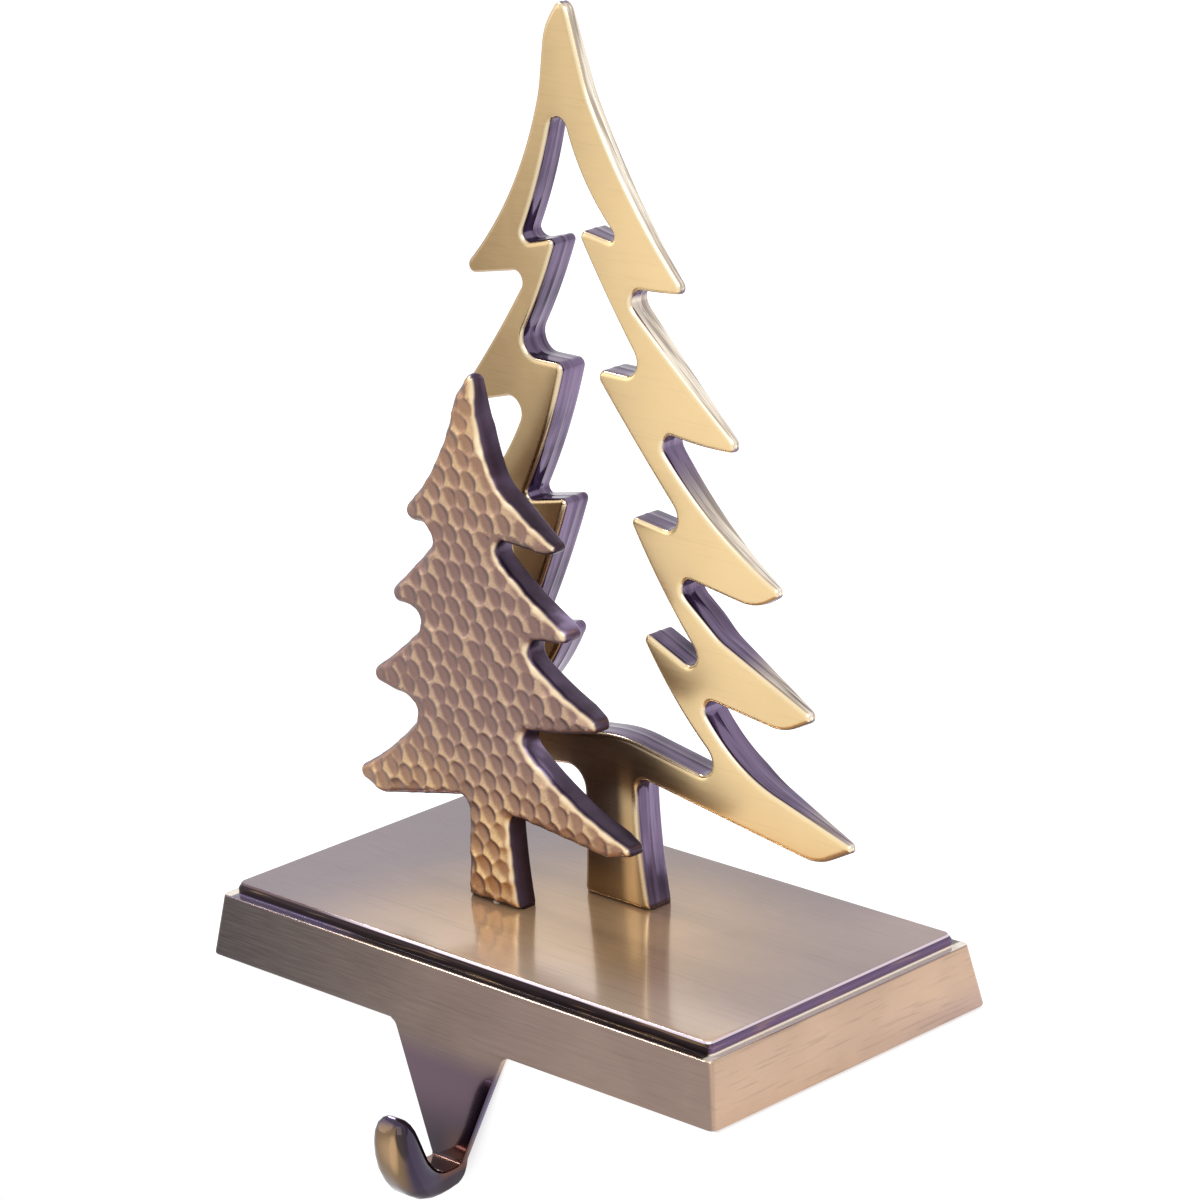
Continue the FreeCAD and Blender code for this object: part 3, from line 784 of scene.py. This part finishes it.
tallTree = {
    "footX": 2.3,
    "frontY": tallLow.y / mm,
    "fullThickness": (tallHigh.y - tallLow.y) / mm,
    "tipThickness": 2,
    "thinnest": 1.4,
    "rightSlope": 0.22,
    "leftSlope": 0.38,
    "sideStep": 1.2,
    "frontRounding": 1.0,
    "sag": 0.1,
    "sagReach": 2.5,
    "backRounding": 0.5,
    "frontStep": 1.6,
    # share of the wall's depth, and how far it stands proud: the mould line is in the middle
    "wallProfile": ((0.2, 0), (0.44, 0), (0.47, 0.05), (0.5, 0.07), (0.53, 0.05), (0.56, 0), (0.8, 0)),
    "rightTips": ((-1.6, 170.4), (24, 117.7), (35.5, 91), (58.5, 23.9)),
    "leftTips": ((-2.1, 170.4), (-29.6, 114.5), (-49.5, 23.7)),
    "outlines": ((
        (-1.6, 168, 2.6, 0), (3.2, 150.4, 25, 1.7),
        (25.1, 117.4, 1.3, -0.4), (7.5, 116.9, 2.3, 0.3),
        (37.2, 90.9, 1.5, -0.9), (14.2, 92.5, 2.3, 2.6),
        (45.3, 67.3, 1.1, 0), (38.2, 63.3, 12, 0), (15.1, 66.9, 2.2, 0), (29.2, 55.9, 12, 0),
        (51.9, 45.9, 1.2, 0), (43.7, 41.8, 10, 0), (22.8, 44.6, 2.3, 2.2), (40.7, 29.8, 20, 0),
        (60.3, 23.9, 0.9, 0), (50.7, 18.9, 10, 0), (6.9, 25.7, 2.6, 0.6),
        (8.6, 0, 0, 0), (-7.9, 0, 0, 0.4),
        (-6.6, 24.7, 4, 0), (-43.8, 20.2, 10, 0), (-51.3, 23.7, 1, 3.5),
        (-21.3, 44.7, 2.5, -1.5), (-45.3, 44.7, 1.2, 2),
        (-19, 66.7, 2.4, -1), (-40.3, 66.1, 1.1, 3.1),
        (-16, 93.5, 2.8, 0), (-36.1, 88.5, 1.4, 0.6),
        (-13.9, 116.5, 1.7, 0), (-32.9, 113.2, 1.4, 3.2), (-9, 149.9, 25, 0), (-7, 161, 12, 0),
    ), (
        (-4.1, 152.3, 1.4, 3.2),
        (10, 124.2, 0.9, 0), (-1.4, 126.1, 1.3, 0.5),
        (14.7, 100.7, 2.8, 0), (0.9, 101, 1.5, 0.4),
        (24.4, 73.1, 2.8, 0), (8, 75.4, 1.2, 1.4),
        (29.6, 46, 1.9, 0), (9.1, 54.9, 1.2, 2.1),
        (33.5, 27.9, 2.4, 0), (3.5, 33.1, 30, 0), (-29.3, 29, 1.2, 2.2),
        (-8.9, 50.9, 1.2, 0), (-19.8, 48.9, 1.5, 0.5),
        (-6.9, 75.5, 1, 0), (-18.6, 73.3, 1.1, 0.9),
        (-6.1, 100.5, 1.4, 0), (-19.1, 100.6, 3.6, 0.7),
        (-6.6, 123.4, 1, 0), (-16.4, 121, 1.5, 1.1),
    )),
}


def taper(plate):
    # Thin at the tips of the boughs, and thicker for each millimetre in from the lines
    # through them.
    def thicknessAt(points):
        thickness = np.full(len(points), plate["fullThickness"])
        for side, sign in (("right", 1), ("left", -1)):
            tips = plate[side + "Tips"]
            for top, foot in zip(tips, tips[1:]):
                top, foot = np.array(top), np.array(foot)
                along = (foot - top) / np.linalg.norm(foot - top)
                inward = np.array([along[1], -along[0]]) * sign
                gain = plate[side + "Slope"] * ((points - top) @ inward)
                thickness = np.minimum(thickness, plate["tipThickness"] + gain)
        return np.maximum(thickness, plate["thinnest"])

    return thicknessAt


tall = buildPlate("tall_tree_brass", tallTree, taper(tallTree))
tall.data.materials.append(treeBrass)

smallTree = {
    "footX": -14.8,
    "frontY": smallLow.y / mm,
    "fullThickness": (smallHigh.y - smallLow.y) / mm,
    "tipThickness": 3.4,
    "thinnest": 2.8,
    "rightSlope": 0.3,
    "leftSlope": 0.3,
    "sideStep": 0.8,
    "frontRounding": 1.4,
    "sag": 0.35,
    "sagReach": 4.5,
    "backRounding": 0.6,
    "frontStep": 0.28,
    "wallProfile": ((0.3, 0), (0.5, 0.05), (0.7, 0)),
    "rightTips": ((4.4, 102.9), (23.2, 71.6), (33.2, 40.0), (39.8, 18.2)),
    "leftTips": ((4.4, 102.9), (-20.2, 71), (-31.2, 38.7), (-36.6, 18.9)),
    "outlines": ((
        (2.9, 102.6, 1.3, 0), (3.1, 92.4, 12, 0.5), (6.8, 80.8, 10, 0.5),
        (22.3, 71.6, 1.5, 0), (18.8, 69.8, 5, 0), (2, 70.9, 2.3, 1.3),
        (25.8, 55.1, 1.3, -0.4), (8.7, 52.9, 2.5, 1.5),
        (33.2, 40.0, 1.4, -0.6), (7, 35.3, 2.4, 2.6),
        (39.8, 18.2, 1.2, 0), (30.3, 15.7, 8, 0), (5.4, 18.3, 1.8, 0.4),
        (6.8, 0, 0, 0), (-6.8, 0, 0, 0.2),
        (-5.4, 19.7, 1.8, 0), (-29.2, 14.9, 4, 0), (-37.1, 18.1, 1.6, 1.5),
        (-15.2, 35, 3, 0), (-32.2, 37.7, 1.7, 0.8),
        (-12, 53.3, 3, 0), (-25.6, 54.1, 1.7, 0.6),
        (-7.7, 70.3, 2.6, 0), (-21.2, 70.3, 1.7, 2.8), (-3, 95.5, 6, 0),
    ),),
}

small = buildPlate("small_tree_hammered", smallTree, taper(smallTree))

hammering = {
    "Span X": 84 * mm,
    "Span Z": 112 * mm,
    "Pitch": 4.05 * mm,
    "Row": 3.5 * mm,
    "Jitter": 0.55 * mm,
    "Width": 4.9 * mm,
    "Depth": 0.5 * mm,
    "Flatness": 2.8,
    "Wall Reach": 3 * mm,    # how far down the sides the marks still show
    "Middle X": (smallLow.x + smallHigh.x) / 2,
    "Face Y": smallLow.y,
    "Foot Z": panelZ * mm,
    "Seed": 7,
}


def makeHammering():
    # Hammer marks: each point of the front sinks by how near it is to the middle of a dish.
    # The dishes stand in staggered rows.
    tree = bpy.data.node_groups.new("hammering", "GeometryNodeTree")
    tree.interface.new_socket("Geometry", in_out="INPUT", socket_type="NodeSocketGeometry")
    for name, value in hammering.items():
        kind = "NodeSocketInt" if name == "Seed" else "NodeSocketFloat"
        tree.interface.new_socket(name, in_out="INPUT", socket_type=kind).default_value = value
    tree.interface.new_socket("Finish", in_out="INPUT", socket_type="NodeSocketMaterial")
    tree.interface.new_socket("Geometry", in_out="OUTPUT", socket_type="NodeSocketGeometry")
    given = tree.nodes.new("NodeGroupInput").outputs
    end = tree.nodes.new("NodeGroupOutput")

    places = calc("CEIL", calc("DIVIDE", given["Span X"], given["Pitch"]))
    rows = calc("CEIL", calc("DIVIDE", given["Span Z"], given["Row"]))
    width = times(places, given["Pitch"])
    height = times(rows, given["Row"])
    grid = addNode(tree, "GeometryNodeMeshGrid", {
        "Size X": width, "Size Y": height,
        "Vertices X": calc("ADD", places, 1), "Vertices Y": calc("ADD", rows, 1)})
    spot = partsOf(tree.nodes.new("GeometryNodeInputPosition").outputs[0])
    up = calc("ADD", spot[1], times(height, 0.5))
    row = calc("ROUND", calc("DIVIDE", up, given["Row"]))
    shift = times(calc("MODULO", row, 2), times(given["Pitch"], 0.5))
    shake = addNode(tree, "FunctionNodeRandomValue", {
        "Min": (-1, -1, 0), "Max": (1, 1, 0), "Seed": given["Seed"]}, data_type="FLOAT_VECTOR")
    shake = addNode(
        tree, "ShaderNodeVectorMath", {0: shake.outputs[0], "Scale": given["Jitter"]}, operation="SCALE")
    step = addNode(tree, "ShaderNodeCombineXYZ", {0: shift})
    offset = vectorMath("ADD", step.outputs[0], shake.outputs[0])[0]
    lattice = addNode(tree, "GeometryNodeSetPosition", {"Geometry": grid.outputs[0], "Offset": offset})
    middle = addNode(tree, "ShaderNodeCombineXYZ", {
        0: given["Middle X"], 1: given["Face Y"],
        2: calc("ADD", given["Foot Z"], times(height, 0.5))})
    lattice = addNode(tree, "GeometryNodeTransform", {
        "Geometry": lattice.outputs[0], "Translation": middle.outputs[0], "Rotation": (math.pi / 2, 0, 0)})

    own = partsOf(tree.nodes.new("GeometryNodeInputPosition").outputs[0])
    flat = addNode(tree, "ShaderNodeCombineXYZ", {0: own[0], 1: given["Face Y"], 2: own[2]})
    near = addNode(tree, "GeometryNodeProximity", {
        0: lattice.outputs[0], "Sample Position": flat.outputs[0]}, target_element="POINTS")
    reach = calc("DIVIDE", near.outputs["Distance"], times(given["Width"], 0.5), clamp=True)
    dish = calc("SUBTRACT", 1, calc("POWER", reach, given["Flatness"]))
    front = addNode(tree, "GeometryNodeInputNamedAttribute", {0: "frontShare"}, data_type="FLOAT")
    behind = calc("SUBTRACT", own[1], given["Face Y"])
    reached = rangeOf(behind, given["Wall Reach"], calc("SUBTRACT", given["Wall Reach"], 1 * mm))
    reached = times(reached, calc("MULTIPLY_ADD", front.outputs[0], 0.35, 0.65))
    sink = times(times(dish, given["Depth"]), reached)
    push = addNode(tree, "ShaderNodeCombineXYZ", {1: sink})
    marked = addNode(
        tree, "GeometryNodeSetPosition", {"Geometry": given["Geometry"], "Offset": push.outputs[0]})
    stored = addNode(tree, "GeometryNodeStoreNamedAttribute", {
        "Geometry": marked.outputs[0], "Name": "ridge", "Value": reach}, data_type="FLOAT", domain="POINT")
    real = addNode(tree, "GeometryNodeRealizeInstances", {0: stored.outputs[0]})
    dressed = addNode(
        tree, "GeometryNodeSetMaterial", {"Geometry": real.outputs[0], "Material": given["Finish"]})
    tree.links.new(dressed.outputs[0], end.inputs[0])
    return tree


def keepResult(piece, modifier):
    # Keeps what a modifier makes as the piece's plain mesh.
    evaluated = piece.evaluated_get(bpy.context.evaluated_depsgraph_get())
    mesh = bpy.data.meshes.new_from_object(evaluated)
    piece.modifiers.remove(modifier)
    piece.data = mesh


def applyTree(piece, tree, material):
    modifier = piece.modifiers.new(tree.name, "NODES")
    modifier.node_group = tree
    for item in tree.interface.items_tree:
        if item.in_out == "INPUT" and item.name == "Finish":
            modifier[item.identifier] = material
    keepResult(piece, modifier)


applyTree(small, makeHammering(), hammeredBronze)
small.data.shade_smooth()
print("hammered face", len(small.data.vertices), "vertices")


# Base casting

slab = {
    "halfWidth": baseHigh.x / mm,
    "halfDepth": baseHigh.y / mm,
    "skirtZ": 0.5,
    "corner": 1.4,
    "sharpAngle": 32,
    "cornerSteps": 8,
    # inset, height over the skirt's bottom edge and radius of each edge, from the recess up
    "profile": (
        (4.0, 1.5, 0), (4.0, 0, 0.2), (0, 0, 0.5), (1.9, 11.8, 0.28), (3.8, 11.8, 0.15),
        (3.8, 13.0, 0.12), (4.3, 14.1, 0.18), (5.2, 14.1, 0),
    ),
}

hook = {
    "topWidth": 28.5,
    "neckWidth": 8.6,
    "drop": 22.75,
    "lean": 2.1,
    "neckZ": -21.95,
    "rootFillet": 1.0,
    "thickness": 1.4,
    "edge": 0.42,
    "edgeSteps": 8,
    # the shank stands a little to the left, and the tip doesn't
    "aside": -0.4,
    "asideFrom": -45,
    "asideOver": 8,
    # heights of the shank's sections; above 0 they lean with the skirt, a hair behind it
    "levels": (3.0, 0.9, 0.3, -0.02, -0.12, -0.3, -0.6, -1.0, -3, -6, -9, -12, -15, -18, -20, -21.95),
    "sunk": 0.02,
    "skirtLean": 0.161,
    "rootTop": 0.9,
    "rootLean": 0.15,
    # upper point, lower point, half width and edge radius, out along the seat and up the tip
    "seat": (
        (-37.56, -22.35, -36.22, -23.3, 4.1, 0.5), (-37.7, -22.62, -36.6, -24.4, 4, 0.55),
        (-38.0, -22.75, -37.1, -25.15, 4, 0.55), (-38.6, -22.76, -37.9, -25.7, 4.06, 0.55),
        (-39.5, -22.76, -38.8, -26.05, 4.14, 0.55), (-41, -22.72, -41.2, -26.35, 4.24, 0.6),
        (-42.2, -22.5, -43.2, -26.6, 4.25, 0.9), (-43.1, -21.9, -45.4, -26.7, 4.35, 1.6),
        (-43.7, -21.0, -47.6, -26.2, 4.5, 2.4), (-44.2, -19.9, -49.5, -24.9, 4.65, 3.2),
        (-44.7, -18.6, -51.1, -22.8, 4.7, 3.8), (-45.3, -17.2, -52.2, -20.2, 4.7, 4.1),
        (-45.9, -15.7, -52.65, -17.5, 4.6, 4.2), (-46.5, -14.2, -52.7, -14.9, 4.35, 4.0),
        (-47.1, -12.8, -52.4, -12.8, 3.95, 3.7), (-47.8, -11.6, -51.7, -11.2, 3.3, 3.0),
        (-48.6, -10.7, -50.8, -10.3, 2.3, 2.0), (-49.3, -10.25, -50.2, -10.0, 1.2, 0.9),
    ),
}


def roundedLine(corners, steps):
    # An open line through corners of a given radius.
    points = [np.array(corners[0][:2], float)]
    for before, here, after in zip(corners, corners[1:], corners[2:]):
        corner = np.array(here[:2], float)
        leave = corner - np.array(before[:2], float)
        join = np.array(after[:2], float) - corner
        lengths = np.linalg.norm(leave), np.linalg.norm(join)
        leave, join = leave / lengths[0], join / lengths[1]
        turn = turnBetween(leave, join)
        trim = min(here[2] * math.tan(turn / 2), 0.45 * lengths[0], 0.45 * lengths[1])
        if trim <= 0:
            points.append(corner)
            continue
        first, last = corner - leave * trim, corner + join * trim
        for share in np.linspace(0, 1, steps + 1):
            points.append((1 - share) ** 2 * first + 2 * share * (1 - share) * corner + share ** 2 * last)
    points.append(np.array(corners[-1][:2], float))
    return points


def slabRing(inset):
    # The slab's plan, drawn in from its edge, as points from the right rear corner round.
    halfX, halfY = slab["halfWidth"] - inset, slab["halfDepth"] - inset
    corners = [(halfX, halfY), (-halfX, halfY), (-halfX, -halfY), (halfX, -halfY)]
    points = []
    for turn, (x, y) in enumerate(corners):
        middle = np.array([x - math.copysign(slab["corner"], x), y - math.copysign(slab["corner"], y)])
        for step in range(slab["cornerSteps"] + 1):
            angle = math.pi / 2 * (turn + step / slab["cornerSteps"])
            points.append(middle + slab["corner"] * np.array([math.cos(angle), math.sin(angle)]))
    return points


def loftRings(rings):
    # A closed skin over rings that have the same number of points.
    skin = bmesh.new()
    rows = [[skin.verts.new(Vector(point) * mm) for point in ring] for ring in rings]
    for lower, upper in zip(rows, rows[1:]):
        for i in range(len(lower)):
            after = (i + 1) % len(lower)
            skin.faces.new((lower[i], lower[after], upper[after], upper[i]))
    skin.faces.new(list(reversed(rows[0])))
    skin.faces.new(rows[-1])
    bmesh.ops.recalc_face_normals(skin, faces=skin.faces)
    return skin


def objectFrom(skin, name):
    mesh = bpy.data.meshes.new(name)
    skin.to_mesh(mesh)
    skin.free()
    return addObject(name, mesh)


def slabSkin():
    rings = []
    for inset, height in roundedLine(slab["profile"], 5):
        rings.append([(x, y, slab["skirtZ"] + height) for x, y in slabRing(inset)])
    return loftRings(rings)


def hookStations():
    # Pairs of points (y, z) on the hook's front and back in side view, each with the half
    # width there, from inside the slab down the shank, out along the seat and up the tip.
    face = -slab["halfDepth"]
    slope = hook["lean"] / hook["drop"]
    stations = []
    for z in hook["levels"]:
        share = min(max(z / hook["neckZ"], 0), 1)
        half = hook["topWidth"] / 2 + (hook["neckWidth"] - hook["topWidth"]) / 2 * share
        inward = max(hook["rootFillet"] + min(z, 0), 0)
        half += hook["rootFillet"] - math.sqrt(hook["rootFillet"] ** 2 - inward ** 2)
        front = face + z * slope
        if z > 0:
            front = face - hook["sunk"] + z * hook["skirtLean"]
            front += max(z - hook["rootTop"], 0) * hook["rootLean"]
        stations.append(((front, z), (front + hook["thickness"], z), half, hook["edge"]))
    for upperY, upperZ, lowerY, lowerZ, half, edge in hook["seat"]:
        stations.append(((upperY, upperZ), (lowerY, lowerZ), half, edge))
    return stations


def hookSkin():
    rings = []
    for front, back, half, edge in hookStations():
        front, back = np.array(front), np.array(back)
        through = back - front
        thickness = np.linalg.norm(through)
        through /= thickness
        edge = min(edge, thickness * 0.48, half * 0.96)
        ring = []
        aside = hook["aside"] * min(1, max(0, (front[0] - hook["asideFrom"]) / hook["asideOver"]))
        quarters = ((1, 0), (1, 1), (-1, 1), (-1, 0))
        for turn, (side, far) in enumerate(quarters):
            x = side * (half - edge)
            depth = thickness - edge if far else edge
            for step in range(hook["edgeSteps"] + 1):
                angle = math.pi / 2 * (turn + step / hook["edgeSteps"] - 1)
                reach = depth + edge * math.sin(angle)
                y, z = front + through * reach
                ring.append((aside + x + edge * math.cos(angle), y, slab["skirtZ"] + z))
        rings.append(ring)
    return loftRings(rings)


def unite(piece, other):
    modifier = piece.modifiers.new("unite", "BOOLEAN")
    modifier.operation = "UNION"
    modifier.solver = "EXACT"
    modifier.object = other
    keepResult(piece, modifier)
    bpy.data.objects.remove(other)


base = objectFrom(slabSkin(), "base_brass")
unite(base, objectFrom(hookSkin(), "hook"))
base.data.materials.clear()
base.data.materials.append(baseBrass)
base.data.shade_smooth()
base.data.set_sharp_from_angle(angle=math.radians(slab["sharpAngle"]))
print("base casting", len(base.data.vertices), "vertices")


# What rides on the frame

for piece, node, slotName in (
    (base, "base_casting", "antique_brass"),
    (tall, "tall_tree", "antique_brass"),
    (small, "small_tree", "hammered_bronze"),
):
    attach(piece, "root")
    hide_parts(node)

for node, material in (("tree_screws", makeScrewSteel()), ("mantel_pad", makeFoamRubber())):
    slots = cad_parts[node].data.materials
    slots.clear()
    slots.append(material)
print("pieces placed")


# Studio: a white shelf, pale surroundings and soft lamps

studio = {
    "shelfFront": -34 * mm,
    "shelfDepth": 0.9,
    "shelfWidth": 2.4,
    "shelfThickness": 0.05,
    "lamps": (
        # name, place, size, watts
        ("key", (0.55, -0.55, 0.75), 0.8, 3.0),
        ("fill", (-0.75, -0.45, 0.35), 0.6, 1.0),
        ("back", (-0.7, 0.02, 0.8), 0.2, 3.5),
    ),
    "aim": (0, 0, 0.08),
    "shelfWhite": (0.85, 0.85, 0.85, 1),
    "shelfGlow": 0.6,
    "skyLight": 0.55,
    "skySeen": 1.0,
}


def seenRays(tree):
    # 1 for what the camera sees straight or in metal, 0 for the light that falls on things.
    path = tree.nodes.new("ShaderNodeLightPath").outputs
    seen = calc("MAXIMUM", path["Is Camera Ray"], path["Is Glossy Ray"])
    return calc("MAXIMUM", seen, path["Is Transmission Ray"])


def makeShelf():
    low = (-studio["shelfWidth"] / 2, studio["shelfFront"], padLow.z - studio["shelfThickness"])
    high = (studio["shelfWidth"] / 2, studio["shelfFront"] + studio["shelfDepth"], padLow.z)
    skin = bmesh.new()
    bmesh.ops.create_cube(skin, size=1)
    for vertex in skin.verts:
        for axis in range(3):
            vertex.co[axis] = high[axis] if vertex.co[axis] > 0 else low[axis]
    shelf = objectFrom(skin, "shelf")
    material = bpy.data.materials.new("white_shelf")
    tree = emptyTree(material)
    white = addNode(tree, "ShaderNodeBsdfDiffuse", {"Color": studio["shelfWhite"]})
    glow = addNode(tree, "ShaderNodeEmission", {
        "Color": (1, 1, 1, 1), "Strength": times(seenRays(tree), studio["shelfGlow"])})
    both = addNode(tree, "ShaderNodeAddShader", {0: white.outputs[0], 1: glow.outputs[0]})
    addNode(tree, "ShaderNodeOutputMaterial", {0: both.outputs[0]})
    shelf.data.materials.append(material)


def makeWorld():
    world = bpy.data.worlds.new("studio")
    bpy.context.scene.world = world
    tree = emptyTree(world)
    strength = mixOf(seenRays(tree), studio["skyLight"], studio["skySeen"])
    sky = addNode(tree, "ShaderNodeBackground", {"Color": (1, 1, 1, 1), "Strength": strength})
    addNode(tree, "ShaderNodeOutputWorld", {0: sky.outputs[0]})


def makeLamps():
    for name, place, size, watts in studio["lamps"]:
        lamp = bpy.data.lights.new(name, "AREA")
        lamp.size = size
        lamp.energy = watts
        holder = addObject(name, lamp)
        holder.location = place
        holder.rotation_euler = (Vector(studio["aim"]) - Vector(place)).to_track_quat("-Z", "Y").to_euler()


view = {
    "azimuth": 45.869,    # degrees from the front towards the right
    "elevation": 17.796,
    "roll": -2.989,
    "distance": 849.67,
    "right": 1.82,
    "up": 69.3,
    "lift": 0.5,
    "lens": 139.14,
    "sensor": 36,
}


def makeCamera():
    turn, rise, roll = (math.radians(view[name]) for name in ("azimuth", "elevation", "roll"))
    back = Vector((math.sin(turn) * math.cos(rise), -math.cos(turn) * math.cos(rise), math.sin(rise)))
    level = (-back).cross(Vector((0, 0, 1))).normalized()
    upright = level.cross(-back)
    right = level * math.cos(roll) + upright * math.sin(roll)
    up = upright * math.cos(roll) - level * math.sin(roll)
    place = back * view["distance"] + right * view["right"] + up * view["up"] + Vector((0, 0, view["lift"]))
    data = bpy.data.cameras.new("camera")
    data.lens = view["lens"]
    data.sensor_width = view["sensor"]
    camera = addObject("camera", data)
    turned = Matrix((right, up, back)).transposed().to_4x4()
    camera.matrix_world = Matrix.Translation(place * mm) @ turned
    bpy.context.scene.camera = camera


makeShelf()
makeWorld()
makeLamps()
makeCamera()
bpy.context.scene.view_settings.view_transform = "Standard"
print("studio made")
